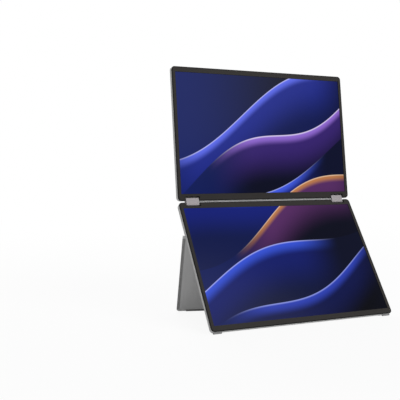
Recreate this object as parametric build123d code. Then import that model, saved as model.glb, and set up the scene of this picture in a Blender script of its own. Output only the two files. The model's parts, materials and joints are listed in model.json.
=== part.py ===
from build123d import *
import math
import os

# Dual portable monitor, in millimetres: two displays on a pair of two-axis hinges, a stand on a slanted
# hinge line, and sockets and keys on the right side. It stands on z = 0, +Z up, its screens facing -Y.

# Displays and casings
screen_width = 301.6
screen_height = 188.5
side_bezel = 5.9
hinge_bezel = 10.7
far_bezel = 8.6
corner_radius = 5.5
back_edge_radius = 1.6
front_edge_radius = 1.2
wall = 1.2
ledge = 1.0
bezel_thickness = 1.3
bezel_lip = 0.6
window_clearance = 0.2
panel_border = 1.6
panel_thickness = 1.2
panel_clearance = 0.2
backplate_thickness = 0.6
cavity_edge_radius = 1.8

# How the displays stand
lower_lean = 33.5
upper_lean = 7.1
foot_lift = 0.5

# Two-axis hinges
axis_spacing = 9.6
hinge_edge = 2.9
hinge_wall = 0.8
edge_gap = 0.6
block_inset = 13.2
block_length = 21.0
block_depth = 7.2
block_overhang = 1.75
block_corner = 1.75
block_end_radius = 0.35
sleeve_wall = 0.45
notch_side_gap = 1.8
notch_floor_gap = 0.4
shaft_radius = 0.9
running_clearance = 0.05
shaft_hole_clearance = 0.3
shaft_engagement = 18.0
bracket_gap = 0.2
knuckle_length = 9.0
knuckle_radius = 1.8
knuckle_edge = 1.6
leaf_width = 18.0
leaf_length = 20.0
leaf_thickness = 1.2

# Small screws
screw_radius = 0.8
screw_head_radius = 1.8
screw_head_height = 0.7
screw_bite = 1.4
screw_hole_clearance = 0.2
boss_wall = 1.5

# Stand
stand_angle = 15.0
stand_hinge_drop = 54.7
stand_thickness = 2.2
stand_right_inset = 22.7
stand_lip = 3.5
stand_gap = 0.4
stand_floor_gap = 0.3
stand_corner = 7.0
recess_corner = 2.5
stand_foot_corner = 3.0
stand_bevel_width = 5.0
stand_bevel_depth = 0.9
stand_foot_clear = 0.5
recess_wall = 1.0
stand_pin_radius = 0.6
stand_pin_grip = 8.0
stand_lug_length = 12.0
stand_lug_inset = 34.0
side_strip_width = 4.5
side_strip_depth = 0.9
side_strip_gap = 3.0
foot_strip_inset = 12.0
foot_strip_height = 3.6
foot_strip_drop = 1.4
foot_strip_depth = 1.6

# Rubber feet under the lower display
foot_length = 13.0
foot_inset = 4.0
foot_depth = 2.8
foot_drop = 1.8
foot_grip = 0.8

# Sockets and keys on the right side: the first drop is from the hinge edge, each spacing from the last one
usb_count = 3
first_usb_drop = 18.7
usb_spacing = 17.0
hdmi_spacing = 17.1
light_spacing = 15.9
rocker_spacing = 26.0
power_spacing = 20.5
port_height = 3.1
key_height = 4.2
port_clearance = 0.2
port_recess = 0.3
port_shell = 0.3
port_depth = 7.4
usb_width = 9.0
usb_height = 3.2
usb_end_flat = 0.3
usb_tongue_width = 6.6
hdmi_width = 11.2
hdmi_height = 3.2
hdmi_taper = 0.9
hdmi_tongue_width = 8.0
tongue_thickness = 0.7
tongue_recess = 0.8
light_radius = 0.8
key_gap = 0.4
key_proud = 0.3
key_face_height = 2.4
key_edge_radius = 0.15
rocker_length = 10.6
rocker_depth = 4.7
rocker_pin_radius = 0.6
rocker_pin_depth = 3.4
rocker_tilt = 4.0
power_length = 9.0
power_gap = 0.15
power_flange = 0.45
power_flange_thickness = 0.8
power_depth = 4.1
power_travel = 0.4
switch_gap = 0.1
switch_width = 3.0
switch_depth = 2.4
switch_height = 1.2
switch_nub_radius = 0.3
switch_nub_length = 0.6

# Boards inside
board_thickness = 0.8
board_clearance = 0.9
main_board_width = 73.0
main_board_key_gap = 5.7
main_board_bracket_gap = 5.0
shield_width = 34.0
shield_height = 26.0
shield_depth = 1.8
connector_width = 12.0
connector_inset = 4.0
driver_board_width = 120.0
driver_board_height = 14.0
driver_board_drop = 26.7
flex_width = 9.0
flex_thickness = 0.2
flex_run = 20.0
key_board_width = 10.0
key_board_margin = 6.0
key_board_clearance = 0.4

# Tripod socket on the lower back
tripod_drop = 53.7
tripod_radius = 3.175
tripod_insert_radius = 4.3
tripod_length = 4.6
tripod_boss_wall = 1.6
tripod_boss_roof = 0.9
locating_spacing = 6.2
locating_radius = 1.3
locating_depth = 3.0

# Levels and outlines worked out from the sizes above. Each display has its own frame: x to the right, y up
# the display from its hinge axis, z towards the viewer. The upper display lies at +y, the lower one at -y.
UPPER = 1
LOWER = -1
SIDES = {"left": -1, "right": 1}
width = screen_width + 2 * side_bezel
height = screen_height + hinge_bezel + far_bezel
half_width = width / 2
far_edge = height - hinge_edge
socket_stack = port_height + usb_height / 2 + board_thickness + screw_head_height
thickness = socket_stack + backplate_thickness + panel_thickness + bezel_lip
front = thickness / 2
back = -thickness / 2
rim = front - bezel_thickness
panel_front = front - bezel_lip
panel_back = panel_front - panel_thickness
backplate_back = panel_back - backplate_thickness
inner_back = back + wall
inner_side = half_width - wall - ledge

block_reach = math.hypot(block_depth / 2 - block_corner, block_overhang - block_corner) + block_corner
notch_floor = block_reach + notch_floor_gap
edge_radius = (axis_spacing - edge_gap) / 2
block_outer = half_width - block_inset
block_inner = block_outer - block_length
notch_outer = block_outer + notch_side_gap
notch_inner = block_inner - notch_side_gap
leaf_outer = notch_inner - wall - bracket_gap
leaf_inner = leaf_outer - leaf_width
leaf_back = -knuckle_radius

nose_radius = stand_thickness / 2
stand_axis_z = back + nose_radius
stand_left = -half_width
stand_right = half_width - stand_right_inset
lip_left = stand_left - stand_lip
stand_axis_y = hinge_edge - stand_hinge_drop
stand_slope = math.tan(math.radians(stand_angle))
recess_floor = back + stand_thickness + stand_floor_gap
stand_inner = back + stand_thickness
stand_opening = 2 * math.degrees(
    math.atan(math.tan(math.radians(lower_lean)) / math.cos(math.radians(stand_angle)))
)

usb_drops = [first_usb_drop + number * usb_spacing for number in range(usb_count)]
hdmi_drop = usb_drops[-1] + hdmi_spacing
light_drop = hdmi_drop + light_spacing
rocker_drop = light_drop + rocker_spacing
power_drop = rocker_drop + power_spacing
key_board_start = rocker_drop - rocker_length / 2 - key_board_margin
key_board_end = power_drop + power_length / 2 + key_board_margin
port_z = back + port_height
key_z = back + key_height

board_back = port_z + usb_height / 2
main_board_right = inner_side - board_clearance
main_board_left = main_board_right - main_board_width
main_board_end = hinge_edge - key_board_start + main_board_key_gap
driver_board_near = driver_board_drop - hinge_edge
driver_board_right = main_board_left - flex_run
flex_middle = driver_board_near + driver_board_height / 2
connector_left = main_board_left + connector_inset
connector_right = connector_left + connector_width

lean_cos = math.cos(math.radians(lower_lean))
lean_sin = math.sin(math.radians(lower_lean))
lowest_curve_y = far_edge - back_edge_radius
lowest_curve_z = front - back_edge_radius
axis_height = foot_lift + back_edge_radius + lowest_curve_y * lean_cos + lowest_curve_z * lean_sin
middle_lean = (lower_lean + upper_lean) / 2
lower_place = Pos(0, 0, axis_height) * Rot(90 - lower_lean, 0, 0)
link_place = Pos(0, 0, axis_height) * Rot(90 - middle_lean, 0, 0)
upper_axis = (link_place * Pos(0, axis_spacing, 0)).position
upper_place = Pos(upper_axis) * Rot(90 - upper_lean, 0, 0)
stand_axis_place = lower_place * Pos(stand_left, stand_axis_y, stand_axis_z) * Rot(0, 0, -stand_angle)
reach = 2 * (width + height)


# Small helpers
def block(x0, x1, y0, y1, z0, z1):
    middle = Pos((x0 + x1) / 2, (y0 + y1) / 2, (z0 + z1) / 2)
    return middle * Box(abs(x1 - x0), abs(y1 - y0), abs(z1 - z0))


def rod_x(y, z, radius, x0, x1):
    return Pos((x0 + x1) / 2, y, z) * Rot(0, 90, 0) * Cylinder(radius, abs(x1 - x0))


def rod_z(x, y, radius, z0, z1):
    return Pos(x, y, (z0 + z1) / 2) * Cylinder(radius, abs(z1 - z0))


def prism(points, z0, z1):
    return extrude(Pos(0, 0, z0) * make_face(Polyline(*points, close=True)), z1 - z0)


def rounded_plate(away, x_half, v0, v1, radius, z0, z1):
    y0, y1 = away * v0, away * v1
    outline = Pos(0, (y0 + y1) / 2, z0) * RectangleRounded(2 * x_half, abs(y1 - y0), radius)
    return extrude(outline, z1 - z0)


def back_edges(solid):
    return solid.faces().sort_by(Axis.Z)[0].edges()


def front_edges(solid):
    return solid.faces().sort_by(Axis.Z)[-1].edges()


# Casing of one display
def casing_slab(away):
    slab = rounded_plate(away, half_width, -hinge_edge, far_edge, corner_radius, back, rim)
    return fillet(back_edges(slab), back_edge_radius)


def hinge_notch(side, away, extra, z0, z1):
    x0, x1 = side * (notch_inner - extra), side * (notch_outer + extra)
    return block(x0, x1, -away * (hinge_edge + corner_radius), away * (notch_floor + extra), z0, z1)


def hinge_nose(away):
    # The rounded edge between the hinges. It turns about the hinge axis, so its gap is the same at every fold.
    nose = rod_x(0, 0, edge_radius, -notch_inner, notch_inner)
    root = -away * (hinge_edge - hinge_wall / 2)
    return nose & block(-notch_inner, notch_inner, root, -away * edge_radius, back, rim)


def cavity(away):
    hinge_side = hinge_wall - hinge_edge
    low_radius = corner_radius - wall - ledge
    low = rounded_plate(
        away, inner_side, hinge_side, far_edge - wall - ledge, low_radius, inner_back, backplate_back
    )
    low = fillet(back_edges(low), cavity_edge_radius)
    seat_radius = corner_radius - wall
    seat = rounded_plate(
        away, half_width - wall, notch_floor + wall, far_edge - wall, seat_radius, backplate_back, rim
    )
    return low + seat


def leaf_screw_spots(side, away):
    x = side * (leaf_inner + leaf_outer) / 2
    spread = leaf_width / 2 - screw_head_radius - boss_wall
    y = away * (leaf_length - screw_head_radius - boss_wall)
    return [(x - spread, y), (x + spread, y)]


def boss(x, y, hole_radius, top):
    return rod_z(x, y, hole_radius + boss_wall, back, top)


def screw_pilot(x, y, top):
    return rod_z(x, y, screw_radius, top - screw_bite, top)


def screw(x, y, seat, grip):
    head = rod_z(x, y, screw_head_radius, seat, seat + screw_head_height)
    return head + rod_z(x, y, screw_radius, seat - grip - screw_bite, seat)


def rear_cover(away, kept=(), cut=()):
    # A tray milled from the slab: what is kept stands in the cavity, then the notches and holes go in.
    space = cavity(away)
    cuts = list(cut)
    for side in SIDES.values():
        space -= hinge_notch(side, away, wall, back, rim)
        cuts.append(hinge_notch(side, away, 0, back - wall, rim + wall))
        hole_radius = shaft_radius + shaft_hole_clearance
        cuts.append(rod_x(0, 0, hole_radius, side * (notch_inner - 2 * wall), side * (notch_inner + wall)))
        for x, y in leaf_screw_spots(side, away):
            space -= boss(x, y, screw_radius, leaf_back)
            cuts.append(screw_pilot(x, y, leaf_back))
    for solid in kept:
        space -= solid
    cover = casing_slab(away) - space + hinge_nose(away)
    for solid in cuts:
        cover -= solid
    return cover


def bezel(away):
    frame = rounded_plate(away, half_width, -hinge_edge, far_edge, corner_radius, rim, front)
    frame = fillet(front_edges(frame), front_edge_radius)
    screen_near = hinge_bezel - hinge_edge
    screen_far = far_edge - far_bezel
    x_half = screen_width / 2
    window = block(
        -x_half - window_clearance,
        x_half + window_clearance,
        away * (screen_near - window_clearance),
        away * (screen_far + window_clearance),
        rim - wall,
        front + wall,
    )
    margin = panel_border + panel_clearance
    rabbet = block(
        -x_half - margin, x_half + margin, away * (screen_near - margin), away * (screen_far + margin),
        rim - wall, panel_front,
    )
    frame = frame - window - rabbet
    for side in SIDES.values():
        frame -= hinge_notch(side, away, 0, rim - wall, front + wall)
    return frame


def screen(away):
    near = hinge_bezel - hinge_edge - panel_border
    far = far_edge - far_bezel + panel_border
    x_half = screen_width / 2 + panel_border
    return block(-x_half, x_half, away * near, away * far, panel_back, panel_front)


def backplate(away):
    near = notch_floor + wall + panel_clearance
    far = far_edge - wall - panel_clearance
    x_half = half_width - wall - panel_clearance
    radius = corner_radius - wall - panel_clearance
    return rounded_plate(away, x_half, near, far, radius, backplate_back, panel_back)


def driver_board(away):
    y0, y1 = away * driver_board_near, away * (driver_board_near + driver_board_height)
    left = driver_board_right - driver_board_width
    return block(left, driver_board_right, y0, y1, backplate_back - board_thickness, backplate_back)


def flex_cable(away):
    y0, y1 = away * (flex_middle - flex_width / 2), away * (flex_middle + flex_width / 2)
    flex_back = backplate_back - flex_thickness
    return block(driver_board_right, connector_right, y0, y1, flex_back, backplate_back)


# Hinges
def hinge_bracket(side, away):
    knuckle = rod_x(0, 0, knuckle_radius, side * (leaf_outer - knuckle_length), side * leaf_outer)
    knuckle &= block(-reach, reach, -away * knuckle_edge, away * reach, -reach, reach)
    leaf_front = leaf_back + leaf_thickness
    leaf = block(side * leaf_inner, side * leaf_outer, 0, away * leaf_length, leaf_back, leaf_front)
    bracket = knuckle + leaf
    bracket -= rod_x(0, 0, shaft_radius, side * leaf_inner, side * (leaf_outer + wall))
    for x, y in leaf_screw_spots(side, away):
        bracket -= rod_z(x, y, screw_radius + screw_hole_clearance, back, front)
    return bracket


def hinge_shaft(side):
    start, end = leaf_outer - knuckle_length, block_inner + shaft_engagement
    return rod_x(0, 0, shaft_radius, side * start, side * end)


def bracket_screws(away):
    spots = [spot for side in SIDES.values() for spot in leaf_screw_spots(side, away)]
    seat = leaf_back + leaf_thickness
    return Compound(children=[screw(x, y, seat, leaf_thickness) for x, y in spots])


def link_section(inset):
    depth = block_depth - 2 * inset
    tall = axis_spacing + 2 * (block_overhang - inset)
    return RectangleRounded(depth, tall, block_corner - inset)


def link_bar(side, inset, x0, x1):
    section = Pos(side * x0, axis_spacing / 2, 0) * Rot(0, side * 90, 0) * link_section(inset)
    return extrude(section, x1 - x0)


def link_core(side):
    core = link_bar(side, sleeve_wall, block_inner, block_outer - sleeve_wall)
    bore = shaft_radius + running_clearance
    bore_end = block_inner + shaft_engagement + bracket_gap
    for y in (0, axis_spacing):
        core -= rod_x(y, 0, bore, side * (block_inner - wall), side * bore_end)
    return core


def link_sleeve(side):
    outside = link_bar(side, 0, block_inner, block_outer)
    outside = fillet(outside.faces().sort_by(Axis.X)[-1 if side > 0 else 0].edges(), block_end_radius)
    return outside - link_bar(side, sleeve_wall, block_inner - wall, block_outer - sleeve_wall)


# Stand and its recess
def stand_line_y(x):
    return stand_axis_y - (x - stand_left) * stand_slope


def stand_rod(radius, start, end):
    along = Pos(stand_left, stand_axis_y, stand_axis_z) * Rot(0, 0, -stand_angle)
    return along * rod_x(0, 0, radius, start, end)


def stand_bar(start, end, uphill0, uphill1, z0, z1):
    along = Pos(stand_left, stand_axis_y, 0) * Rot(0, 0, -stand_angle)
    return along * block(start, end, uphill0, uphill1, z0, z1)


def stand_foot_level():
    # The foot line's y on the closed stand for which the open stand's edge just clears the table.
    angle = math.radians(stand_opening)
    slant = math.cos(math.radians(stand_angle))
    above = axis_height - stand_foot_clear + lean_cos * stand_axis_y + lean_sin * stand_axis_z
    fall = lean_cos * slant * math.cos(angle) + lean_sin * math.sin(angle)
    return stand_axis_y - above / fall * slant


def recess_prism(margin, corner, z0, z1):
    uphill = (nose_radius + stand_gap + margin) / math.cos(math.radians(stand_angle))
    x0, x1 = stand_left - reach, stand_right + stand_gap + margin
    points = [(x, stand_line_y(x) + uphill) for x in (x0, x1)]
    body = prism(points + [(x1, -reach), (x0, -reach)], z0, z1)
    edge = body.edges().filter_by(Axis.Z).sort_by_distance((x1, stand_line_y(x1), z0))[0]
    return fillet(edge, corner)


def stand_lug_starts():
    length = (stand_right - stand_left) / math.cos(math.radians(stand_angle))
    return [stand_lug_inset, length - stand_lug_inset - stand_lug_length]


def stand_lug(start):
    end = start + stand_lug_length
    uphill = nose_radius + stand_gap + recess_wall
    lug = stand_rod(nose_radius, start, end)
    lug += stand_bar(start, end, 0, uphill, stand_axis_z, recess_floor + recess_wall / 2)
    return lug - stand_rod(stand_pin_radius + running_clearance, start - wall, end + wall)


def stand_pin(start):
    return stand_rod(stand_pin_radius, start - stand_pin_grip, start + stand_lug_length + stand_pin_grip)


def stand_blank():
    # The plate before its hinge gaps, bevels and strips. Its left edge is a lip past the display's side.
    foot = stand_foot_level()
    corners = [(x, stand_line_y(x)) for x in (lip_left, stand_right)]
    sheet = prism(corners + [(stand_right, foot), (lip_left, foot)], back, stand_inner)
    nose = stand_rod(nose_radius, -reach, reach)
    sheet = (sheet + nose) & block(lip_left, stand_right, -reach, reach, back, stand_inner)
    upright = sheet.edges().filter_by(Axis.Z)
    sheet = fillet(upright.sort_by_distance((stand_right, foot, back))[0], stand_foot_corner)
    sheet &= Pos(-stand_lip, 0, 0) * casing_slab(LOWER)
    return sheet & recess_prism(-stand_gap, stand_corner, back, stand_inner)


def side_strip_space():
    low = stand_foot_level() + stand_bevel_width
    high = stand_line_y(stand_left) - side_strip_gap
    depth = stand_inner - side_strip_depth
    return block(lip_left - wall, lip_left + side_strip_width, low, high, depth, stand_inner + wall)


def stand_plate(blank):
    foot = stand_foot_level()
    run = -foot
    side_wedge = [(0, 0), (stand_bevel_width, 0), (0, -stand_bevel_depth)]
    along_y_right = Plane(origin=(stand_right, foot - run, stand_inner), x_dir=(-1, 0, 0), z_dir=(0, 1, 0))
    right_bevel = extrude(along_y_right * make_face(Polyline(*side_wedge, close=True)), 2 * run)
    along_x = Plane(origin=(lip_left, foot, stand_inner), x_dir=(0, 1, 0), z_dir=(1, 0, 0))
    foot_bevel = extrude(along_x * make_face(Polyline(*side_wedge, close=True)), width)
    sheet = blank - side_strip_space() - right_bevel - foot_bevel
    for start in stand_lug_starts():
        end = start + stand_lug_length + stand_gap
        down, up = -nose_radius - stand_gap, 2 * nose_radius
        sheet -= stand_bar(start - stand_gap, end, down, up, back - wall, stand_inner + wall)
        sheet -= stand_pin(start)
    return sheet


def stand_foot_strip(sheet):
    foot = stand_foot_level()
    strip = block(
        stand_left + foot_strip_inset,
        stand_right - foot_strip_inset,
        foot - foot_strip_drop,
        foot + foot_strip_height,
        stand_inner - foot_strip_depth,
        stand_inner,
    )
    return strip - sheet


def lower_foot(side, cover):
    outer = half_width - foot_inset
    pad = block(
        side * (outer - foot_length), side * outer, -far_edge - foot_drop, -far_edge + foot_grip,
        recess_floor, recess_floor + foot_depth,
    )
    return pad - cover


# Side openings, sockets and keys
def side_y(drop):
    return hinge_edge - drop


def side_plane(drop, z, x):
    return Plane(origin=(x, side_y(drop), z), x_dir=(0, 1, 0), z_dir=(1, 0, 0))


def usb_outline(grow):
    corner = (usb_height - usb_end_flat) / 2 + grow
    return RectangleRounded(usb_width + 2 * grow, usb_height + 2 * grow, corner)


def hdmi_outline(grow):
    half, low = hdmi_width / 2 + grow, hdmi_width / 2 - hdmi_taper + grow
    tall = hdmi_height / 2 + grow
    right = [(half, tall), (half, 0), (low, -tall)]
    left = [(-x, y) for x, y in reversed(right)]
    return make_face(Polyline(*right, *left, close=True))


def side_cut(drop, z, outline):
    return extrude(side_plane(drop, z, inner_side - wall) * outline, half_width)


def socket(drop, outline, tongue_width):
    mouth = half_width - port_recess
    outside = extrude(side_plane(drop, port_z, mouth - port_depth) * outline(0), port_depth)
    inside = extrude(side_plane(drop, port_z, mouth - port_depth + wall) * outline(-port_shell), port_depth)
    y = side_y(drop)
    tongue = block(
        mouth - port_depth + wall / 2, mouth - tongue_recess, y - tongue_width / 2, y + tongue_width / 2,
        port_z - tongue_thickness / 2, port_z + tongue_thickness / 2,
    )
    return outside - inside + tongue


def key_block(drop, length, tall, x0, x1):
    y = side_y(drop)
    return block(x0, x1, y - length / 2, y + length / 2, key_z - tall / 2, key_z + tall / 2)


def menu_rocker():
    outer = half_width + key_proud
    key = key_block(rocker_drop, rocker_length, key_face_height, outer - rocker_depth, outer)
    key = fillet(key.faces().sort_by(Axis.X)[-1].edges(), key_edge_radius)
    hole = rocker_pin_radius + running_clearance
    return key - rod_z(half_width - rocker_pin_depth, side_y(rocker_drop), hole, back, front)


def power_button():
    outer = half_width + key_proud
    cap = key_block(power_drop, power_length, key_face_height, outer - power_depth, outer)
    cap = fillet(cap.faces().sort_by(Axis.X)[-1].edges(), key_edge_radius)
    seat = inner_side - switch_gap
    grow = 2 * power_flange
    return cap + key_block(
        power_drop, power_length + grow, key_face_height + grow, seat - power_flange_thickness, seat
    )


def key_board_top():
    return key_z - key_face_height / 2 - switch_gap


def key_board():
    top = key_board_top()
    x1 = inner_side - key_board_clearance
    y_top, y_end = side_y(key_board_start), side_y(key_board_end)
    strip = block(x1 - key_board_width, x1, y_end, y_top, top - board_thickness, top)
    flange = key_face_height / 2 + power_flange
    grow = power_length / 2 + power_flange + key_gap
    relief = block(
        inner_side - switch_gap - power_flange_thickness - power_travel - key_gap, half_width,
        side_y(power_drop) - grow, side_y(power_drop) + grow, key_z - flange - key_gap, key_z + flange,
    )
    return strip - relief


def key_board_bosses():
    top = key_board_top() - board_thickness
    x = inner_side - key_board_clearance - key_board_width + screw_head_radius
    y_top = side_y(key_board_start) - key_board_margin / 2
    y_end = side_y(key_board_end) + key_board_margin / 2
    return [rod_z(x, y, screw_head_radius, back, top) for y in (y_top, y_end)]


def tact_switch(y, tip):
    top = key_board_top()
    face = tip - switch_nub_length
    y0, y1 = y - switch_width / 2, y + switch_width / 2
    body = block(face - switch_depth, face, y0, y1, top, top + switch_height)
    return body + rod_x(y, top + switch_height / 2, switch_nub_radius, face - switch_nub_length, tip)


def tact_switches():
    rocker_back = half_width + key_proud - rocker_depth
    swing = math.sin(math.radians(rocker_tilt)) * rocker_length / 2
    power_back = half_width + key_proud - power_depth
    arm = rocker_length / 2 - switch_width / 2
    middle = side_y(rocker_drop)
    spots = [(middle + arm, rocker_back - swing), (middle - arm, rocker_back - swing)]
    spots.append((side_y(power_drop), power_back - power_travel - switch_gap))
    return Compound(children=[tact_switch(y, tip) for y, tip in spots])


def rocker_pin():
    x = half_width - rocker_pin_depth
    return rod_z(x, side_y(rocker_drop), rocker_pin_radius, key_board_top(), key_z + key_face_height / 2)


def status_light():
    return rod_x(side_y(light_drop), port_z, light_radius, inner_side - wall, half_width)


# Boards of the lower display
def main_board_spots():
    inset = screw_head_radius + boss_wall
    left = main_board_left + inset
    right = main_board_right - port_depth - screw_head_radius - inset
    below_flex = -(flex_middle + flex_width / 2 + inset)
    return [(left, below_flex), (left, main_board_end + inset), (right, main_board_end + inset)]


def main_board():
    x0, x1 = main_board_left, main_board_right
    step_x = leaf_outer + board_clearance + wall
    top = -(notch_floor + wall + board_clearance)
    step_y = -(leaf_length + main_board_bracket_gap)
    corners = [(x0, step_y), (step_x, step_y), (step_x, top), (x1, top)]
    corners += [(x1, main_board_end), (x0, main_board_end)]
    board_front = board_back + board_thickness
    board = prism(corners, board_back, board_front)
    middle = (step_y + main_board_end) / 2
    can_x = (x0 + step_x) / 2
    can = Pos(can_x, middle, board_back - shield_depth / 2) * Box(shield_width, shield_height, shield_depth)
    board += can
    y0, y1 = -flex_middle - flex_width / 2, -flex_middle + flex_width / 2
    board += block(connector_left, connector_right, y0, y1, board_front, backplate_back - flex_thickness)
    for x, y in main_board_spots():
        board -= rod_z(x, y, screw_radius + screw_hole_clearance, back, front)
    return board


def main_board_screws():
    seat = board_back + board_thickness
    return Compound(children=[screw(x, y, seat, board_thickness) for x, y in main_board_spots()])


def tripod_insert():
    y = hinge_edge - tripod_drop
    outside = rod_z(0, y, tripod_insert_radius, back, back + tripod_length)
    return outside - rod_z(0, y, tripod_radius, back - wall, front)


def tripod_seat():
    y = hinge_edge - tripod_drop
    hole_y = y + locating_spacing
    end = back + tripod_length
    roof = end + tripod_boss_roof
    kept = [rod_z(0, y, tripod_insert_radius + tripod_boss_wall, back, roof)]
    kept.append(rod_z(0, hole_y, locating_radius + tripod_boss_wall, back, roof))
    cut = [rod_z(0, y, tripod_insert_radius, back - wall, end)]
    cut.append(rod_z(0, hole_y, locating_radius, back - wall, back + locating_depth))
    return kept, cut


def lower_rear_cover():
    kept, cut = tripod_seat()
    kept.append(recess_prism(recess_wall, recess_corner + recess_wall, back, recess_floor + recess_wall))
    cut.append(recess_prism(0, recess_corner, back - wall, recess_floor))
    for drop in usb_drops:
        cut.append(side_cut(drop, port_z, usb_outline(port_clearance)))
    cut.append(side_cut(hdmi_drop, port_z, hdmi_outline(port_clearance)))
    cut.append(rod_x(side_y(light_drop), port_z, light_radius, inner_side - wall, half_width + wall))
    inside = inner_side - wall
    for drop, length, gap in ((rocker_drop, rocker_length, key_gap), (power_drop, power_length, power_gap)):
        cut.append(key_block(drop, length + 2 * gap, key_face_height + 2 * gap, inside, reach))
    for x, y in main_board_spots():
        kept.append(boss(x, y, screw_radius, board_back))
        cut.append(screw_pilot(x, y, board_back))
    kept += key_board_bosses()
    cover = rear_cover(LOWER, kept, cut)
    for start in stand_lug_starts():
        cover += stand_lug(start)
    return cover


# Assembly at rest: every node is built in its display's frame, then set in place.
nodes = {}


def add(name, place, solid):
    nodes[name] = place * solid


cover = lower_rear_cover()
add("lower_rear_cover", lower_place, cover)
add("lower_bezel", lower_place, bezel(LOWER))
add("lower_screen", lower_place, screen(LOWER))
add("lower_backplate", lower_place, backplate(LOWER))
add("lower_driver_board", lower_place, driver_board(LOWER))
add("lower_flex_cable", lower_place, flex_cable(LOWER))
add("lower_bracket_screws", lower_place, bracket_screws(LOWER))
add("main_board", lower_place, main_board())
add("main_board_screws", lower_place, main_board_screws())
for number, drop in enumerate(usb_drops, start=1):
    add(f"usb_c_socket_{number}", lower_place, socket(drop, usb_outline, usb_tongue_width))
add("mini_hdmi_socket", lower_place, socket(hdmi_drop, hdmi_outline, hdmi_tongue_width))
add("status_light", lower_place, status_light())
add("key_board", lower_place, key_board())
add("tact_switches", lower_place, tact_switches())
add("rocker_pin", lower_place, rocker_pin())
add("menu_rocker", lower_place, menu_rocker())
add("power_button", lower_place, power_button())
add("tripod_insert", lower_place, tripod_insert())

add("upper_rear_cover", upper_place, rear_cover(UPPER))
add("upper_bezel", upper_place, bezel(UPPER))
add("upper_screen", upper_place, screen(UPPER))
add("upper_backplate", upper_place, backplate(UPPER))
add("upper_driver_board", upper_place, driver_board(UPPER))
add("upper_flex_cable", upper_place, flex_cable(UPPER))
add("upper_bracket_screws", upper_place, bracket_screws(UPPER))

table = block(-reach, reach, -reach, reach, 0, reach)
for side_name, side in SIDES.items():
    add(f"lower_hinge_bracket_{side_name}", lower_place, hinge_bracket(side, LOWER))
    add(f"lower_hinge_shaft_{side_name}", lower_place, hinge_shaft(side))
    add(f"upper_hinge_bracket_{side_name}", upper_place, hinge_bracket(side, UPPER))
    add(f"upper_hinge_shaft_{side_name}", upper_place, hinge_shaft(side))
    add(f"hinge_link_core_{side_name}", link_place, link_core(side))
    add(f"hinge_link_sleeve_{side_name}", link_place, link_sleeve(side))
    nodes[f"lower_foot_{side_name}"] = (lower_place * lower_foot(side, cover)) & table

stand_direction = (stand_axis_place * Pos(1, 0, 0)).position - stand_axis_place.position
stand_axis = Axis(stand_axis_place.position, stand_direction)


def add_stand(name, solid):
    nodes[name] = (lower_place * solid).rotate(stand_axis, stand_opening)


blank = stand_blank()
sheet = stand_plate(blank)
add_stand("stand_plate", sheet)
add_stand("stand_side_strip", blank & side_strip_space())
add_stand("stand_foot_strip", stand_foot_strip(sheet))
nodes["stand_foot_strip"] &= table
for number, start in enumerate(stand_lug_starts(), start=1):
    add_stand(f"stand_hinge_pin_{number}", stand_pin(start))

# The origin is the middle of the overall box, on the table.
boxes = [solid.bounding_box() for solid in nodes.values()]
low_corner = Vector(*(min(getattr(box.min, letter) for box in boxes) for letter in "XYZ"))
high_corner = Vector(*(max(getattr(box.max, letter) for box in boxes) for letter in "XYZ"))
middle = (low_corner + high_corner) / 2
origin_shift = Vector(-middle.X, -middle.Y, 0)

os.makedirs("parts", exist_ok=True)
for name, solid in nodes.items():
    export_step(Pos(origin_shift) * solid, f"parts/{name}.step")
    print(name, len(solid.solids()), round(solid.volume, 2))
print("overall", high_corner - low_corner, "lowest", low_corner.Z, "origin shift", origin_shift)
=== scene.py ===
import json
import math

import bmesh
import bpy
from mathutils import Matrix, Vector


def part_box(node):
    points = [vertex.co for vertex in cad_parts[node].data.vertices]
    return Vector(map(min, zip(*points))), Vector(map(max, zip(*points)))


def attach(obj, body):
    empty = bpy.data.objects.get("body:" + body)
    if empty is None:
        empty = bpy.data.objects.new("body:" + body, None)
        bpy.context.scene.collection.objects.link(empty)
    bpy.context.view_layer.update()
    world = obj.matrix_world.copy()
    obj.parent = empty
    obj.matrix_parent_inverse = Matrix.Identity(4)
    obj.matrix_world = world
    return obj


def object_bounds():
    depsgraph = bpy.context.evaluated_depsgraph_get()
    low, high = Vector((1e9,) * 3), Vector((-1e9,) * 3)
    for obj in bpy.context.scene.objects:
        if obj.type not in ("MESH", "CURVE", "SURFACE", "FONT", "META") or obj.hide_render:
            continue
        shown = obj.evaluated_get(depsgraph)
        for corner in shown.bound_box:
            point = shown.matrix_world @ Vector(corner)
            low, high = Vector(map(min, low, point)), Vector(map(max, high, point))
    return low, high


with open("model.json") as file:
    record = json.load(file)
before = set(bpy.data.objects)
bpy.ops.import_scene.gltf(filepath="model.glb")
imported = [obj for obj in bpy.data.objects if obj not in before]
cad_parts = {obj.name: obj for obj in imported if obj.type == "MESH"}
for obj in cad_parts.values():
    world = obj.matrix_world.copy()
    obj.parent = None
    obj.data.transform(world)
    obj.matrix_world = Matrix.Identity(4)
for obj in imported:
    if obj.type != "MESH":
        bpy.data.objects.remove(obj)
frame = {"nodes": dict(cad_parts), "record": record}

cad_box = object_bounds()
nodes = frame["nodes"]

# Rear covers and stand plate
# The two trays and the folding stand are milled from aluminium sheet, then blasted with fine glass beads and
# anodised natural silver. The trays hold everything else, and the stand closes flush into the lower one.
MM = 0.001


def linear(code):
    # Linear colour of an sRGB hex value.
    parts = [int(code[i:i + 2], 16) / 255 for i in (0, 2, 4)]
    return [part / 12.92 if part <= 0.04045 else ((part + 0.055) / 1.055) ** 2.4 for part in parts] + [1.0]


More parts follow.
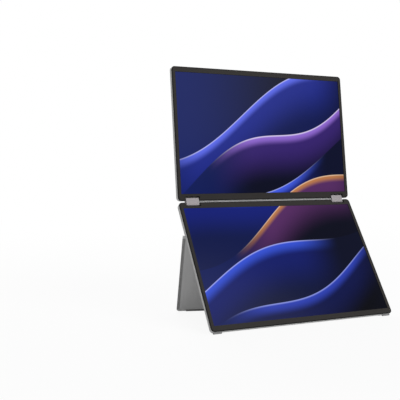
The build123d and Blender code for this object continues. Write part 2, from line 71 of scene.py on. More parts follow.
def add_node(tree, kind, inputs=(), **settings):
    # One node with its settings. Inputs are named or numbered, and hold a value or another node's output.
    made = tree.nodes.new(kind)
    for key, value in settings.items():
        setattr(made, key, value)
    for key, value in dict(inputs).items():
        if isinstance(value, bpy.types.NodeSocket):
            tree.links.new(value, made.inputs[key])
        else:
            made.inputs[key].default_value = value
    return made


def new_material(name, plain):
    # A material whose shader has these plain values, with its tree and its shader.
    material = bpy.data.materials.new(name)
    material.use_nodes = True
    shader = material.node_tree.nodes["Principled BSDF"]
    for socket, value in plain.items():
        shader.inputs[socket].default_value = value
    return material, material.node_tree, shader


def feed(tree, shader, links):
    # Links other nodes' outputs to the shader's sockets.
    for socket, output in links.items():
        tree.links.new(output, shader.inputs[socket])


def paint(material, *names):
    # Gives these pieces one material.
    for name in names:
        for slot in nodes[name].material_slots:
            slot.material = material


CLOUD_DETAIL = 3.0
GRAIN_DETAIL = 2.0
GRAIN_STRENGTH = 0.35


def grained(name, plain, pale, deep, cloud, grain, rough, depth):
    # A surface with slow clouds of two close colours, and fine grain in its roughness and its bump.
    material, tree, shader = new_material(name, plain)
    place = add_node(tree, "ShaderNodeTexCoord").outputs["Object"]
    clouds = add_node(
        tree, "ShaderNodeTexNoise", {"Vector": place, "Scale": 1 / cloud, "Detail": CLOUD_DETAIL}
    )
    colour = add_node(
        tree, "ShaderNodeMix", {0: clouds.outputs["Fac"], 6: linear(pale), 7: linear(deep)}, data_type="RGBA"
    )
    grains = add_node(
        tree, "ShaderNodeTexNoise", {"Vector": place, "Scale": 1 / grain, "Detail": GRAIN_DETAIL}
    )
    roughness = add_node(
        tree, "ShaderNodeMapRange", {"Value": grains.outputs["Fac"], "To Min": rough[0], "To Max": rough[1]}
    )
    bump = add_node(tree, "ShaderNodeBump", {
        "Height": grains.outputs["Fac"], "Strength": GRAIN_STRENGTH, "Distance": depth,
    })
    feed(tree, shader, {
        "Base Color": colour.outputs[2],
        "Roughness": roughness.outputs["Result"],
        "Normal": bump.outputs["Normal"],
    })
    return material


# Bead-blasted anodised aluminium: a soft even silver without mirror images, because the pitted skin and its
# clear oxide scatter most of the light. The pits are some 0.1 mm wide and are drawn at 0.9 mm, so that they
# still show.
blasted_aluminium = grained(
    "blasted_anodised_aluminium", {"Metallic": 0.15, "Specular IOR Level": 0.2}, pale="c4c4c4", deep="bcbcbc",
    cloud=60 * MM, grain=0.9 * MM, rough=(0.46, 0.60), depth=0.05 * MM,
)
paint(blasted_aluminium, "lower_rear_cover", "upper_rear_cover", "stand_plate")

# Boards, cables and fixings inside
# Glass-fibre boards under green solder mask, a polyimide flat cable and an aluminium backplate in each
# display, and pressed steel hinge leaves and pins. Dark zinc screws hold the main board and the leaves.
# Solder mask: a dark green lacquer with a low gloss.
solder_mask = grained(
    "green_solder_mask", {"Specular IOR Level": 0.6}, pale="12402b", deep="0c3322",
    cloud=8 * MM, grain=1.2 * MM, rough=(0.30, 0.45), depth=0.04 * MM,
)
paint(solder_mask, "main_board", "key_board", "lower_driver_board", "upper_driver_board")
# Polyimide film: smooth amber with a clear gloss.
polyimide = grained(
    "amber_polyimide_film", {}, pale="b8752a", deep="a4611d",
    cloud=6 * MM, grain=1.5 * MM, rough=(0.25, 0.35), depth=0.02 * MM,
)
paint(polyimide, "lower_flex_cable", "upper_flex_cable")
# Pressed steel: a bright, slightly warm grey with soft cloudy patches.
pressed_steel = grained(
    "pressed_steel", {"Metallic": 1.0}, pale="bdbbb8", deep="a9a7a5",
    cloud=12 * MM, grain=0.8 * MM, rough=(0.28, 0.42), depth=0.02 * MM,
)
SIDES = ("left", "right")
for side in SIDES:
    paint(pressed_steel, f"lower_hinge_bracket_{side}", f"upper_hinge_bracket_{side}")
paint(pressed_steel, "stand_hinge_pin_1", "stand_hinge_pin_2", "rocker_pin")
# Mill-finish aluminium sheet: a cool dull silver, slightly cloudy.
mill_sheet = grained(
    "mill_finish_aluminium_sheet", {"Metallic": 1.0}, pale="b9babc", deep="adaeb1",
    cloud=25 * MM, grain=1.0 * MM, rough=(0.35, 0.50), depth=0.03 * MM,
)
paint(mill_sheet, "lower_backplate", "upper_backplate")
# Dark zinc plate: a blackish grey metal with a soft shine.
dark_zinc = grained(
    "dark_zinc_plate", {"Metallic": 1.0}, pale="57585b", deep="4a4b4e",
    cloud=3 * MM, grain=0.5 * MM, rough=(0.30, 0.45), depth=0.01 * MM,
)
paint(dark_zinc, "lower_bracket_screws", "upper_bracket_screws", "main_board_screws")

# Sockets
# Three oval data sockets and a small video socket, drawn from plated steel and soldered to the edge of the
# main board. Each has a black moulded tongue that carries one or two rows of gold-plated contacts.
LOWER = "lower_display"
TONGUE_CLEAR = 0.05 * MM
TONGUE_LENGTH = 6.0 * MM
TONGUE_TIP = 0.8 * MM
TONGUE_THICKNESS = 0.7 * MM
TONGUE_EDGE = 0.12 * MM
EDGE_STEPS = 2
ROUND_PROFILE = 0.5
CONTACT_START = 0.6 * MM
CONTACT_LENGTH = 3.2 * MM
CONTACT_HEIGHT = 0.03 * MM
DATA_TONGUE = {"tongue": 6.6 * MM, "count": 12, "pitch": 0.5 * MM, "contact": 0.26 * MM, "faces": (-1, 1)}
VIDEO_TONGUE = {"tongue": 8.0 * MM, "count": 19, "pitch": 0.4 * MM, "contact": 0.2 * MM, "faces": (-1,)}
SOCKETS = {
    "usb_c_socket_1": DATA_TONGUE,
    "usb_c_socket_2": DATA_TONGUE,
    "usb_c_socket_3": DATA_TONGUE,
    "mini_hdmi_socket": VIDEO_TONGUE,
}
# Nickel-plated steel: a bright, slightly warm grey that still mirrors the light.
plated_steel = grained(
    "nickel_plated_steel", {"Metallic": 1.0}, pale="a9aaad", deep="9b9c9f",
    cloud=5 * MM, grain=0.6 * MM, rough=(0.22, 0.34), depth=0.01 * MM,
)
paint(plated_steel, *SOCKETS)
# Glass-filled black moulding: nearly black, dull.
tongue_plastic = grained(
    "black_moulded_tongue", {}, pale="141415", deep="0d0d0e",
    cloud=3 * MM, grain=0.5 * MM, rough=(0.40, 0.55), depth=0.01 * MM,
)
# Thin gold plate: yellow glints in a dark mouth.
contact_gold = grained(
    "gold_plated_contacts", {"Metallic": 1.0}, pale="d8b25a", deep="caa24a",
    cloud=2 * MM, grain=0.4 * MM, rough=(0.20, 0.30), depth=0.01 * MM,
)


def display_frame(screen):
    # Turns a display's own axes to the part's: x to the right, y up the display, z out of its screen.
    faces = [face for face in nodes[screen].data.polygons if face.normal.y < 0]
    out = max(faces, key=lambda face: face.area).normal.copy()
    right = Vector((1, 0, 0))
    return Matrix((right, out.cross(right), out)).transposed().to_4x4()


def middle_of(name):
    # The middle of a piece's box.
    low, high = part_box(name)
    return (low + high) / 2


def piece_from(name, mesh, body, material=None):
    # A finished mesh as a piece that rides on a body.
    if material:
        mesh.materials.append(material)
    piece = bpy.data.objects.new(name, mesh)
    bpy.context.scene.collection.objects.link(piece)
    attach(piece, body)
    return piece


def joined(name, meshes):
    # One mesh of several.
    made = bmesh.new()
    for mesh in meshes:
        made.from_mesh(mesh)
    whole = bpy.data.meshes.new(name)
    made.to_mesh(whole)
    made.free()
    return whole


def box_mesh(size, middle, edge):
    # A box with its edges slightly rounded.
    made = bmesh.new()
    bmesh.ops.create_cube(made, size=1.0, matrix=Matrix.Translation(middle) @ Matrix.Diagonal((*size, 1)))
    bmesh.ops.bevel(
        made, geom=made.edges[:], offset=edge, segments=EDGE_STEPS, affect="EDGES", profile=ROUND_PROFILE
    )
    mesh = bpy.data.meshes.new("box")
    made.to_mesh(mesh)
    made.free()
    return mesh


def node_tree(name, inputs):
    # An empty geometry tree with named inputs, its input node and its output node.
    tree = bpy.data.node_groups.new(name, "GeometryNodeTree")
    tree.interface.new_socket("Geometry", in_out="OUTPUT", socket_type="NodeSocketGeometry")
    for label, kind in inputs.items():
        tree.interface.new_socket(label, in_out="INPUT", socket_type=kind)
    return tree, add_node(tree, "NodeGroupInput"), add_node(tree, "NodeGroupOutput")


def grown(tree, values):
    # The plain mesh that a geometry tree makes from these values.
    host = bpy.data.objects.new("host", bpy.data.meshes.new("host"))
    bpy.context.scene.collection.objects.link(host)
    modifier = host.modifiers.new("grow", "NODES")
    modifier.node_group = tree
    for item in tree.interface.items_tree:
        if item.in_out == "INPUT":
            modifier[item.identifier] = values[item.name]
    view = bpy.context.evaluated_depsgraph_get()
    mesh = bpy.data.meshes.new_from_object(host.evaluated_get(view))
    host.modifiers.remove(modifier)
    bpy.data.objects.remove(host)
    return mesh


SIZE = "NodeSocketFloat"
row_tree, row_in, row_out = node_tree(
    "contact_row", {"Count": "NodeSocketInt", "Pitch": SIZE, "Width": SIZE, "Length": SIZE, "Height": SIZE}
)
row_gaps = add_node(row_tree, "ShaderNodeMath", {0: row_in.outputs["Count"], 1: 1.0}, operation="SUBTRACT")
row_length = add_node(
    row_tree, "ShaderNodeMath", {0: row_gaps.outputs[0], 1: row_in.outputs["Pitch"]}, operation="MULTIPLY"
)
row_edge = add_node(row_tree, "ShaderNodeMath", {0: row_length.outputs[0], 1: -0.5}, operation="MULTIPLY")
row_start = add_node(row_tree, "ShaderNodeCombineXYZ", {"Y": row_edge.outputs[0]})
row_step = add_node(row_tree, "ShaderNodeCombineXYZ", {"Y": row_in.outputs["Pitch"]})
row_line = add_node(row_tree, "GeometryNodeMeshLine", {
    "Count": row_in.outputs["Count"],
    "Start Location": row_start.outputs[0],
    "Offset": row_step.outputs[0],
})
strip_size = add_node(row_tree, "ShaderNodeCombineXYZ", {
    "X": row_in.outputs["Length"], "Y": row_in.outputs["Width"], "Z": row_in.outputs["Height"],
})
strip = add_node(row_tree, "GeometryNodeMeshCube", {"Size": strip_size.outputs[0]})
strips = add_node(row_tree, "GeometryNodeInstanceOnPoints", {
    "Points": row_line.outputs["Mesh"], "Instance": strip.outputs["Mesh"],
})
real_strips = add_node(row_tree, "GeometryNodeRealizeInstances", {"Geometry": strips.outputs[0]})
gilded = add_node(
    row_tree, "GeometryNodeSetMaterial", {"Geometry": real_strips.outputs[0], "Material": contact_gold}
)
row_tree.links.new(gilded.outputs[0], row_out.inputs[0])

lower_axes = display_frame("lower_screen")
tongues, contact_rows = [], []
for name, facts in SOCKETS.items():
    place = Matrix.Translation(middle_of(name)) @ lower_axes
    half_depth = (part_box(name)[1].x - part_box(name)[0].x) / 2
    tip = half_depth - TONGUE_TIP + TONGUE_CLEAR
    tongue_size = (TONGUE_LENGTH, facts["tongue"] + 2 * TONGUE_CLEAR, TONGUE_THICKNESS + 2 * TONGUE_CLEAR)
    tongue = box_mesh(tongue_size, Vector((tip - TONGUE_LENGTH / 2, 0, 0)), TONGUE_EDGE)
    tongue.transform(place)
    tongues.append(tongue)
    for face in facts["faces"]:
        row = grown(row_tree, {
            "Count": facts["count"], "Pitch": facts["pitch"], "Width": facts["contact"],
            "Length": CONTACT_LENGTH, "Height": CONTACT_HEIGHT,
        })
        across = face * tongue_size[2] / 2
        row.transform(place @ Matrix.Translation((tip - CONTACT_START - CONTACT_LENGTH / 2, 0, across)))
        contact_rows.append(row)
piece_from("socket_tongues", joined("socket_tongues", tongues), LOWER, tongue_plastic)
piece_from("socket_contacts", joined("socket_contacts", contact_rows), LOWER, contact_gold)

# Status light and side keys
# A frosted acrylic light guide, a satin black rocker on its pin and a silver power button, with their tact
# switches on a narrow board behind them.
# Frosted acrylic: milky white with no clear view through it.
frosted_acrylic = grained(
    "frosted_acrylic", {"Transmission Weight": 0.3, "IOR": 1.49}, pale="e4e7e8", deep="d8dcdd",
    cloud=2 * MM, grain=0.4 * MM, rough=(0.45, 0.60), depth=0.01 * MM,
)
paint(frosted_acrylic, "status_light")
# Moulded switch housing: plain dull black.
switch_plastic = grained(
    "black_switch_plastic", {}, pale="2b2b2b", deep="222222",
    cloud=3 * MM, grain=0.5 * MM, rough=(0.45, 0.60), depth=0.01 * MM,
)
paint(switch_plastic, "tact_switches")
# Satin black paint: deep black with a broad soft highlight.
satin_black = grained(
    "satin_black_key_paint", {}, pale="232323", deep="1c1c1c",
    cloud=4 * MM, grain=0.6 * MM, rough=(0.36, 0.48), depth=0.02 * MM,
)
paint(satin_black, "menu_rocker")
# Satin silver paint: close to the cover's own silver, a little smoother.
satin_silver = grained(
    "satin_silver_key_paint", {"Metallic": 0.4}, pale="b4b5b7", deep="abacae",
    cloud=4 * MM, grain=0.6 * MM, rough=(0.34, 0.46), depth=0.02 * MM,
)
paint(satin_silver, "power_button")

# Tripod socket
# A turned brass bush pressed into the lower cover and tapped with the common 1/4 inch camera thread. Its end
# is nickel plated and lies flush with the silver back, and its bore is blackened.
THREAD_PITCH = 1.27 * MM
THREAD_DEPTH = 0.55 * MM
THREAD_STEPS = 40
RIDGE_SIDES = 3
PLATING_EDGE = 0.1 * MM
BLACKENED = "2d2a26"
# Blackened brass: a brownish black with a dull metal shine.
blackened_brass = grained(
    "blackened_turned_brass", {"Metallic": 0.8}, pale=BLACKENED, deep="23211e",
    cloud=3 * MM, grain=0.5 * MM, rough=(0.34, 0.46), depth=0.01 * MM,
)
thread_tree, thread_in, thread_out = node_tree(
    "thread", {"Turns": SIZE, "Steps": "NodeSocketInt", "Radius": SIZE, "Rise": SIZE, "Depth": SIZE}
)
helix = add_node(thread_tree, "GeometryNodeCurveSpiral", {
    "Resolution": thread_in.outputs["Steps"], "Rotations": thread_in.outputs["Turns"],
    "Start Radius": thread_in.outputs["Radius"], "End Radius": thread_in.outputs["Radius"],
    "Height": thread_in.outputs["Rise"],
})
ridge = add_node(thread_tree, "GeometryNodeCurvePrimitiveCircle", {
    "Resolution": RIDGE_SIDES, "Radius": thread_in.outputs["Depth"],
})
ridges = add_node(thread_tree, "GeometryNodeCurveToMesh", {
    "Curve": helix.outputs[0], "Profile Curve": ridge.outputs["Curve"], "Fill Caps": True,
})
real_ridges = add_node(thread_tree, "GeometryNodeRealizeInstances", {"Geometry": ridges.outputs[0]})
blackened = add_node(
    thread_tree, "GeometryNodeSetMaterial", {"Geometry": real_ridges.outputs[0], "Material": blackened_brass}
)
thread_tree.links.new(blackened.outputs[0], thread_out.inputs[0])
tripod_mount = next(mount for mount in frame["record"]["mounts"] if mount["name"] == "tripod_socket")
bush_depth = tripod_mount["dims"]["length_mm"] * MM
thread_radius = tripod_mount["dims"]["r_mm"] * MM
thread_turns = (bush_depth - 2 * THREAD_PITCH) / THREAD_PITCH
thread = grown(thread_tree, {
    "Turns": thread_turns, "Steps": THREAD_STEPS, "Radius": thread_radius,
    "Rise": thread_turns * THREAD_PITCH, "Depth": THREAD_DEPTH,
})
bush_middle = middle_of("tripod_insert")
bush_place = Matrix.Translation(bush_middle) @ lower_axes
thread.transform(bush_place @ Matrix.Translation((0, 0, -thread_turns * THREAD_PITCH / 2)))
piece_from("tripod_thread", thread, LOWER)


def tinted(material, share, code):
    # Lays another colour over a material's own, by a share from 0 to 1.
    tree = material.node_tree
    shader = tree.nodes["Principled BSDF"]
    own_colour = shader.inputs["Base Color"].links[0].from_socket
    colour = add_node(tree, "ShaderNodeMix", {0: share, 6: own_colour, 7: linear(code)}, data_type="RGBA")
    feed(tree, shader, {"Base Color": colour.outputs[2]})
    return material


# Nickel-plated brass: a dull silver ring that hardly shows in the back, with a black bore inside it.
plated_bush = grained(
    "nickel_plated_turned_brass", {"Metallic": 0.3, "Specular IOR Level": 0.2}, pale="b8b8b8", deep="b0b0b0",
    cloud=3 * MM, grain=0.5 * MM, rough=(0.40, 0.52), depth=0.01 * MM,
)
bush_tree = plated_bush.node_tree
bush_point = add_node(bush_tree, "ShaderNodeTexCoord").outputs["Object"]
from_bush = add_node(
    bush_tree, "ShaderNodeVectorMath", {0: bush_point, 1: bush_middle}, operation="SUBTRACT"
)
off_axis = add_node(bush_tree, "ShaderNodeVectorMath", {
    0: from_bush.outputs[0], 1: lower_axes.to_3x3().col[2],
}, operation="CROSS_PRODUCT")
bush_radius = add_node(bush_tree, "ShaderNodeVectorMath", {0: off_axis.outputs[0]}, operation="LENGTH")
bore = add_node(bush_tree, "ShaderNodeMapRange", {
    "Value": bush_radius.outputs["Value"],
    "From Min": thread_radius + PLATING_EDGE,
    "From Max": thread_radius,
})
paint(tinted(plated_bush, bore.outputs["Result"], BLACKENED), "tripod_insert")

# Screens
# Two OLED panels under glass with an anti-reflection coat. Both are lit, and one picture runs over the two:
# dark blue dunes whose crests catch a pale, violet or amber light.
COAT_SHINE = 0.04
COAT_ROUGHNESS = 0.16
PANEL_BLACK = "020203"
PANEL_BORDER = 1.8 * MM
LINE_SOFTNESS = 0.004
LIGHT_FADE = 0.3
UNLIT_SHARE = 0.8
BACKGROUND_LEFT = "0f1e60"
BACKGROUND_RIGHT = "05081c"
SHADE_FROM, SHADE_TO = -0.5, 0.25
CRESTS = [
    {
        "level": 0.50, "slope": 0.42, "swell": 0.085, "length": 1.25, "phase": 0.10,
        "fade": 0.30, "lit": (-0.35, 0.3),
        "stops": ((0.0, "c9cbff"), (0.04, "5a68e6"), (0.20, "1b2888"), (1.0, "0c174e")),
    },
    {
        "level": 0.30, "slope": 0.50, "swell": 0.075, "length": 1.05, "phase": 0.42,
        "fade": 0.26, "lit": (-0.05, 0.45),
        "stops": ((0.0, "ece2ff"), (0.05, "8d66cc"), (0.22, "35216b"), (1.0, "05081f")),
    },
    {
        "level": 0.12, "slope": 0.36, "swell": 0.090, "length": 1.40, "phase": 0.70,
        "fade": 0.24, "lit": (-0.45, 0.1),
        "stops": ((0.0, "b9c1ff"), (0.04, "3f58dc"), (0.24, "131f74"), (1.0, "0b1648")),
    },
    {
        "level": -0.10, "slope": 0.44, "swell": 0.080, "length": 1.15, "phase": 0.05,
        "fade": 0.28, "lit": (0.0, 0.4),
        "stops": ((0.0, "f3d3b4"), (0.04, "b9784a"), (0.16, "542b60"), (1.0, "04061a")),
    },
    {
        "level": -0.30, "slope": 0.34, "swell": 0.070, "length": 1.30, "phase": 0.36,
        "fade": 0.30, "lit": (-0.5, 0.05),
        "stops": ((0.0, "b3baff"), (0.04, "3450cf"), (0.26, "101b66"), (1.0, "091238")),
    },
    {
        "level": -0.52, "slope": 0.40, "swell": 0.060, "length": 1.10, "phase": 0.62,
        "fade": 0.26, "lit": (-0.15, 0.35),
        "stops": ((0.0, "9aa5f2"), (0.05, "2c3fae"), (0.26, "0b1348"), (1.0, "02030c")),
    },
]


def with_dune(tree, picture, background, crest, across, up):
    # The picture with one more dune in front: below its crest line a light fades out, and the light shows
    # only along the lit stretch of the crest.
    turn = add_node(tree, "ShaderNodeMath", {
        0: across, 1: math.tau / crest["length"], 2: math.tau * crest["phase"],
    }, operation="MULTIPLY_ADD")
    swell = add_node(tree, "ShaderNodeMath", {0: turn.outputs[0]}, operation="SINE")
    line = add_node(tree, "ShaderNodeMath", {
        0: swell.outputs[0], 1: crest["swell"], 2: crest["level"],
    }, operation="MULTIPLY_ADD")
    line = add_node(tree, "ShaderNodeMath", {
        0: across, 1: crest["slope"], 2: line.outputs[0],
    }, operation="MULTIPLY_ADD")
    below = add_node(tree, "ShaderNodeMath", {0: line.outputs[0], 1: up}, operation="SUBTRACT")
    cover = add_node(
        tree, "ShaderNodeMapRange", {"Value": below.outputs[0], "From Max": LINE_SOFTNESS},
        interpolation_type="SMOOTHSTEP",
    )
    fade = add_node(tree, "ShaderNodeMapRange", {"Value": below.outputs[0], "From Max": crest["fade"]})
    ramp = add_node(tree, "ShaderNodeValToRGB", {"Fac": fade.outputs["Result"]})
    ramp.color_ramp.interpolation = "EASE"
    for stop in crest["stops"][1:-1]:
        ramp.color_ramp.elements.new(stop[0])
    for element, (at, code) in zip(ramp.color_ramp.elements, crest["stops"]):
        element.position = at
        element.color = linear(code)
    rise = add_node(tree, "ShaderNodeMapRange", {
        "Value": across, "From Min": crest["lit"][0] - LIGHT_FADE, "From Max": crest["lit"][0],
    }, interpolation_type="SMOOTHSTEP")
    fall = add_node(tree, "ShaderNodeMapRange", {
        "Value": across, "From Min": crest["lit"][1] + LIGHT_FADE, "From Max": crest["lit"][1],
    }, interpolation_type="SMOOTHSTEP")
    lit_part = add_node(tree, "ShaderNodeMath", {
        0: rise.outputs["Result"], 1: fall.outputs["Result"],
    }, operation="MULTIPLY")
    unlit = add_node(tree, "ShaderNodeMix", {
        0: UNLIT_SHARE, 6: linear(crest["stops"][-1][1]), 7: background,
    }, data_type="RGBA")
    dune = add_node(tree, "ShaderNodeMix", {
        0: lit_part.outputs[0], 6: unlit.outputs[2], 7: ramp.outputs["Color"],
    }, data_type="RGBA")
    return add_node(tree, "ShaderNodeMix", {
        0: cover.outputs["Result"], 6: picture, 7: dune.outputs[2],
    }, data_type="RGBA").outputs[2]


def lit_screen(name, centre, axes, window, lift):
    # The panel's own light: the stretch of the picture that lies on this screen, inside a black border.
    material, tree, shader = new_material(name, {
        "Base Color": linear(PANEL_BLACK), "Roughness": COAT_ROUGHNESS,
        "Specular IOR Level": COAT_SHINE, "Emission Strength": 1.0,
    })
    place = add_node(tree, "ShaderNodeTexCoord").outputs["Object"]
    from_middle = add_node(tree, "ShaderNodeVectorMath", {0: place, 1: centre}, operation="SUBTRACT")
    along = []
    for axis in range(3):
        direction = axes.to_3x3().col[axis]
        along.append(add_node(
            tree, "ShaderNodeVectorMath", {0: from_middle.outputs[0], 1: direction}, operation="DOT_PRODUCT"
        ).outputs["Value"])
    unit = 1 / window[0]
    across = add_node(tree, "ShaderNodeMath", {0: along[0], 1: unit}, operation="MULTIPLY").outputs[0]
    up = add_node(
        tree, "ShaderNodeMath", {0: along[1], 1: unit, 2: lift}, operation="MULTIPLY_ADD"
    ).outputs[0]
    shade = add_node(
        tree, "ShaderNodeMapRange", {"Value": across, "From Min": SHADE_FROM, "From Max": SHADE_TO},
        interpolation_type="SMOOTHSTEP",
    )
    background = add_node(tree, "ShaderNodeMix", {
        0: shade.outputs["Result"], 6: linear(BACKGROUND_LEFT), 7: linear(BACKGROUND_RIGHT),
    }, data_type="RGBA").outputs[2]
    picture = background
    for crest in CRESTS:
        picture = with_dune(tree, picture, background, crest, across, up)
    inside = []
    for line, size in zip(along, window):
        spread = add_node(tree, "ShaderNodeMath", {0: line}, operation="ABSOLUTE")
        edge = add_node(
            tree, "ShaderNodeMath", {0: spread.outputs[0], 1: size / 2}, operation="LESS_THAN"
        )
        inside.append(edge.outputs[0])
    lit = add_node(tree, "ShaderNodeMath", {0: inside[0], 1: inside[1]}, operation="MULTIPLY")
    front = add_node(tree, "ShaderNodeMath", {0: along[2], 1: 0.0}, operation="GREATER_THAN")
    lit = add_node(tree, "ShaderNodeMath", {0: lit.outputs[0], 1: front.outputs[0]}, operation="MULTIPLY")
    light = add_node(
        tree, "ShaderNodeMix", {0: lit.outputs[0], 6: linear("000000"), 7: picture}, data_type="RGBA"
    )
    feed(tree, shader, {"Emission Color": light.outputs[2]})
    return material


def face_size(name, axes):
    # The width of a display's flat piece, and about its height: the thickness adds a little to it.
    low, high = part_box(name)
    up = axes.col[1]
    return high.x - low.x, (high - low).dot(Vector((0, abs(up.y), up.z)))


upper_axes = display_frame("upper_screen")
middles = {name: middle_of(name) for name in ("lower_screen", "upper_screen")}
for name, axes, away in (("lower_screen", lower_axes, -1), ("upper_screen", upper_axes, 1)):
    window = [size - 2 * PANEL_BORDER for size in face_size(name, axes)]
    lift = away * (middles["upper_screen"] - middles["lower_screen"]).length / 2 / window[0]
    paint(lit_screen(f"lit_oled_{name}", middles[name], axes, window, lift), name)

# Bezels
# One-piece frames moulded in dark grey ABS with a fine spark texture, clipped over each panel's edge. Painted
# shade darkens their rounded outer edge to nearly black, where it turns away from the light.
EDGE_SHADE_BAND = 1.5 * MM
EDGE_SHADE_SOFTNESS = 0.4 * MM
# The near-black band along the bezels' outer edge is painted shade, where the rounded edge turns from the
# light.
EDGE_SHADE_COLOUR = "0c0c0b"
CASE_CORNER = 5.5 * MM


def edged_abs(name, node, axes):
    # Spark-textured ABS: a warm dark grey with no clear highlight, with painted shade that turns it nearly
    # black where the outer edge turns away. The texture's pits are some 0.2 mm wide and are drawn at 0.8 mm,
    # so that they still show.
    material = grained(
        name, {"Specular IOR Level": 0.14}, pale="2b2826", deep="252321",
        cloud=40 * MM, grain=0.8 * MM, rough=(0.50, 0.66), depth=0.04 * MM,
    )
    tree = material.node_tree
    place = add_node(tree, "ShaderNodeTexCoord").outputs["Object"]
    from_middle = add_node(tree, "ShaderNodeVectorMath", {0: place, 1: middle_of(node)}, operation="SUBTRACT")
    past = []
    for axis, size in enumerate(face_size(node, axes)):
        along = add_node(tree, "ShaderNodeVectorMath", {
            0: from_middle.outputs[0], 1: axes.to_3x3().col[axis],
        }, operation="DOT_PRODUCT")
        spread = add_node(tree, "ShaderNodeMath", {0: along.outputs["Value"]}, operation="ABSOLUTE")
        past.append(add_node(tree, "ShaderNodeMath", {
            0: spread.outputs[0], 1: size / 2 - CASE_CORNER,
        }, operation="SUBTRACT", use_clamp=True).outputs[0])
    reach = add_node(tree, "ShaderNodeCombineXYZ", {"X": past[0], "Y": past[1]})
    outwards = add_node(tree, "ShaderNodeVectorMath", {0: reach.outputs[0]}, operation="LENGTH")
    # Painted shade: a band along the bezel's outer edge is tinted nearly black.
    painted_edge_shade = add_node(tree, "ShaderNodeMapRange", {
        "Value": outwards.outputs["Value"],
        "From Min": CASE_CORNER - EDGE_SHADE_BAND - EDGE_SHADE_SOFTNESS,
        "From Max": CASE_CORNER - EDGE_SHADE_BAND,
    })
    return tinted(material, painted_edge_shade.outputs["Result"], EDGE_SHADE_COLOUR)


paint(edged_abs("spark_textured_abs_lower", "lower_bezel", lower_axes), "lower_bezel")
paint(edged_abs("spark_textured_abs_upper", "upper_bezel", upper_axes), "upper_bezel")

# Two-axis hinges
# Each hinge link is a closed steel block in a silver-plated, sandblasted sleeve. Ground steel shafts join
# it to the leaves in both displays.
# Sandblasted silver plate: a slightly warm pale grey, mottled by coarse blasting, with no mirror images.
sandblasted_silver = grained(
    "sandblasted_silver_plate", {"Metallic": 0.15, "Specular IOR Level": 0.15}, pale="a49fa1", deep="8f8a8c",
    cloud=1.6 * MM, grain=1.1 * MM, rough=(0.46, 0.62), depth=0.08 * MM,
)
# Ground steel: a bright shaft with a narrow highlight.
ground_steel = grained(
    "ground_steel", {"Metallic": 1.0}, pale="c4c4c5", deep="b6b6b8",
    cloud=4 * MM, grain=0.5 * MM, rough=(0.18, 0.28), depth=0.01 * MM,
)
for side in SIDES:
    paint(sandblasted_silver, f"hinge_link_sleeve_{side}")
    paint(ground_steel, f"hinge_link_core_{side}", f"lower_hinge_shaft_{side}", f"upper_hinge_shaft_{side}")

# Hinge well liners
# Thin black mouldings set into the four hinge notches of the trays, as painted shade for the notches. They
# cover the bare metal round each link, leave a slot for its shaft, and have a lip at the back that keeps
# light from showing past its end.
WELL_SIDE_GAP = 1.8 * MM
WELL_FLOOR = 4.0 * MM
WELL_MOUTH = -1.2 * MM
WELL_BACK = -4.25 * MM
WELL_FRONT = 3.0 * MM
LINER_SIDE = 0.4 * MM
LINER_FLOOR = 3.75 * MM
LIP_EDGE = 2.3 * MM
LIP_FRONT = -3.75 * MM
SLOT_RADIUS = 1.3 * MM
SLOT_STEPS = 12
# Nearly black and dull: the liners' colour is painted shade for the notches round each link.
notch_shade_plastic = grained(
    "black_notch_shade_moulding", {"Specular IOR Level": 0.2}, pale="1c1c1c", deep="151515",
    cloud=4 * MM, grain=0.5 * MM, rough=(0.50, 0.65), depth=0.01 * MM,
)
slot_angles = [math.pi / 2 - math.pi * step / SLOT_STEPS for step in range(SLOT_STEPS + 1)]
SIDE_OUTLINE = [
    (WELL_MOUTH, WELL_BACK), (WELL_FLOOR, WELL_BACK), (WELL_FLOOR, WELL_FRONT), (WELL_MOUTH, WELL_FRONT),
    (WELL_MOUTH, SLOT_RADIUS),
    *((SLOT_RADIUS * math.cos(angle), SLOT_RADIUS * math.sin(angle)) for angle in slot_angles),
    (WELL_MOUTH, -SLOT_RADIUS),
]
FLOOR_OUTLINE = [
    (WELL_FLOOR, WELL_BACK), (WELL_FLOOR, WELL_FRONT), (LINER_FLOOR, WELL_FRONT), (LINER_FLOOR, LIP_FRONT),
    (LIP_EDGE, LIP_FRONT), (LIP_EDGE, WELL_BACK),
]


def liner_bar(outline, away, start, end):
    # A closed bar along x. Its outline is in a display's own y, counted from the hinge axis, and z.
    made = bmesh.new()
    ends = [[made.verts.new((x, away * y, z)) for y, z in outline] for x in (start, end)]
    for ring in ends:
        made.faces.new(ring)
    for number in range(len(outline)):
        made.faces.new((ends[0][number - 1], ends[0][number], ends[1][number], ends[1][number - 1]))
    bmesh.ops.recalc_face_normals(made, faces=made.faces[:])
    mesh = bpy.data.meshes.new("liner_bar")
    made.to_mesh(mesh)
    made.free()
    return mesh


for display, axes, away in (("lower", lower_axes, -1), ("upper", upper_axes, 1)):
    bars = []
    for side in SIDES:
        shaft = middle_of(f"{display}_hinge_shaft_{side}")
        low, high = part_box(f"hinge_link_sleeve_{side}")
        well = low.x - WELL_SIDE_GAP, high.x + WELL_SIDE_GAP
        inside = well[0] + LINER_SIDE, well[1] - LINER_SIDE
        notch_bars = [
            liner_bar(SIDE_OUTLINE, away, well[0], inside[0]),
            liner_bar(FLOOR_OUTLINE, away, *inside),
            liner_bar(SIDE_OUTLINE, away, inside[1], well[1]),
        ]
        for bar in notch_bars:
            bar.transform(Matrix.Translation((0, shaft.y, shaft.z)) @ axes)
        bars.extend(notch_bars)
    liners = f"{display}_hinge_liners"
    piece_from(liners, joined(liners, bars), f"{display}_display", notch_shade_plastic)

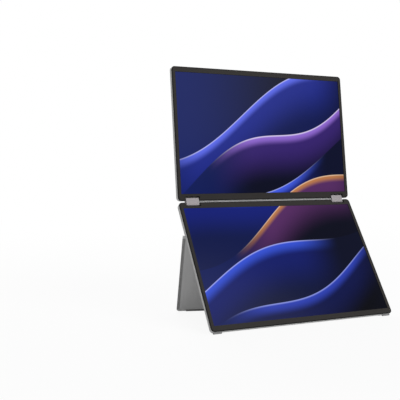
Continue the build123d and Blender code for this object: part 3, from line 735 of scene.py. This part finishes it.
# Rubber feet and the stand's strips
# Grey silicone rubber, moulded with a matt skin and glued into their seats. One strip runs along the stand's
# foot and one along the inner side of its lip.
# Silicone rubber: a soft mid grey, duller than the metal round it.
matt_rubber = grained(
    "matt_grey_rubber", {"Specular IOR Level": 0.2}, pale="a0a0a0", deep="969696",
    cloud=6 * MM, grain=0.7 * MM, rough=(0.70, 0.85), depth=0.05 * MM,
)
paint(matt_rubber, "lower_foot_left", "lower_foot_right", "stand_foot_strip", "stand_side_strip")

# Studio
# A pale floor that fades to white with distance, an even sky and three broad soft lamps. The camera stands
# where the photograph was taken.
FLOOR_SIZE = 60.0
FLOOR_DROP = 0.1 * MM
FLOOR_COLOUR = "e4e4e4"
FLOOR_ROUGHNESS = 0.9
WHITE_NEAR = 0.92
FADE_FROM, FADE_TO = 0.5, 2.0
SKY_LIGHT = 0.33
CAMERA_PLACE = Vector((-580.79, -956.52, 228.83)) * MM
CAMERA_YAW = 25.110
CAMERA_PITCH = 2.522
CAMERA_LENS = 64.145
LAMPS = {
    "key_lamp": {"place": (0.9, -2.3, 1.9), "size": 2.2, "power": 50},
    "top_lamp": {"place": (0.3, 0.3, 2.8), "size": 2.6, "power": 7},
    "back_lamp": {"place": (0.4, 2.4, 1.7), "size": 2.0, "power": 46},
}
floor_mesh = bpy.data.meshes.new("floor")
made = bmesh.new()
bmesh.ops.create_grid(made, x_segments=1, y_segments=1, size=FLOOR_SIZE / 2)
made.to_mesh(floor_mesh)
made.free()
floor_mesh.transform(Matrix.Translation((0, 0, -FLOOR_DROP)))
floor = bpy.data.objects.new("floor", floor_mesh)
bpy.context.scene.collection.objects.link(floor)
floor_material, floor_tree, floor_shader = new_material("pale_floor", {
    "Base Color": linear(FLOOR_COLOUR), "Roughness": FLOOR_ROUGHNESS, "Specular IOR Level": 0.0,
})
floor_place = add_node(floor_tree, "ShaderNodeTexCoord").outputs["Object"]
floor_reach = add_node(floor_tree, "ShaderNodeVectorMath", {0: floor_place}, operation="LENGTH")
floor_fade = add_node(floor_tree, "ShaderNodeMapRange", {
    "Value": floor_reach.outputs["Value"], "From Min": FADE_FROM, "From Max": FADE_TO, "To Min": WHITE_NEAR,
})


def seen_rays(tree):
    # One for the rays that show the background: straight from the camera, by a reflection or through glass.
    path = add_node(tree, "ShaderNodeLightPath")
    shown = path.outputs["Is Camera Ray"]
    for kind in ("Is Glossy Ray", "Is Transmission Ray"):
        shown = add_node(
            tree, "ShaderNodeMath", {0: shown, 1: path.outputs[kind]}, operation="MAXIMUM"
        ).outputs[0]
    return shown


floor_share = add_node(floor_tree, "ShaderNodeMath", {
    0: floor_fade.outputs["Result"], 1: seen_rays(floor_tree),
}, operation="MULTIPLY")
white = add_node(floor_tree, "ShaderNodeEmission", {"Strength": 1.0})
floor_mix = add_node(floor_tree, "ShaderNodeMixShader", {
    0: floor_share.outputs[0], 1: floor_shader.outputs[0], 2: white.outputs[0],
})
floor_tree.links.new(floor_mix.outputs[0], floor_tree.nodes["Material Output"].inputs["Surface"])
floor_mesh.materials.append(floor_material)

world = bpy.data.worlds.new("studio")
world.use_nodes = True
sky_tree = world.node_tree
sky_level = add_node(
    sky_tree, "ShaderNodeMapRange", {"Value": seen_rays(sky_tree), "To Min": SKY_LIGHT, "To Max": 1.0}
)
sky_tree.nodes["Background"].inputs["Color"].default_value = linear("ffffff")
sky_tree.links.new(sky_level.outputs["Result"], sky_tree.nodes["Background"].inputs["Strength"])
bpy.context.scene.world = world

aim = Vector((0, 0, (cad_box[0].z + cad_box[1].z) / 2))
for name, facts in LAMPS.items():
    lamp = bpy.data.lights.new(name, "AREA")
    lamp.shape = "DISK"
    lamp.size = facts["size"]
    lamp.energy = facts["power"]
    holder = bpy.data.objects.new(name, lamp)
    holder.location = facts["place"]
    holder.rotation_euler = (aim - holder.location).to_track_quat("-Z", "Y").to_euler()
    bpy.context.scene.collection.objects.link(holder)

camera = bpy.data.objects.new("camera", bpy.data.cameras.new("camera"))
camera.data.lens = CAMERA_LENS
camera.location = CAMERA_PLACE
camera.rotation_euler = (math.radians(90 - CAMERA_PITCH), 0, math.radians(-CAMERA_YAW))
bpy.context.scene.collection.objects.link(camera)
bpy.context.scene.camera = camera
bpy.context.scene.view_settings.view_transform = "Standard"
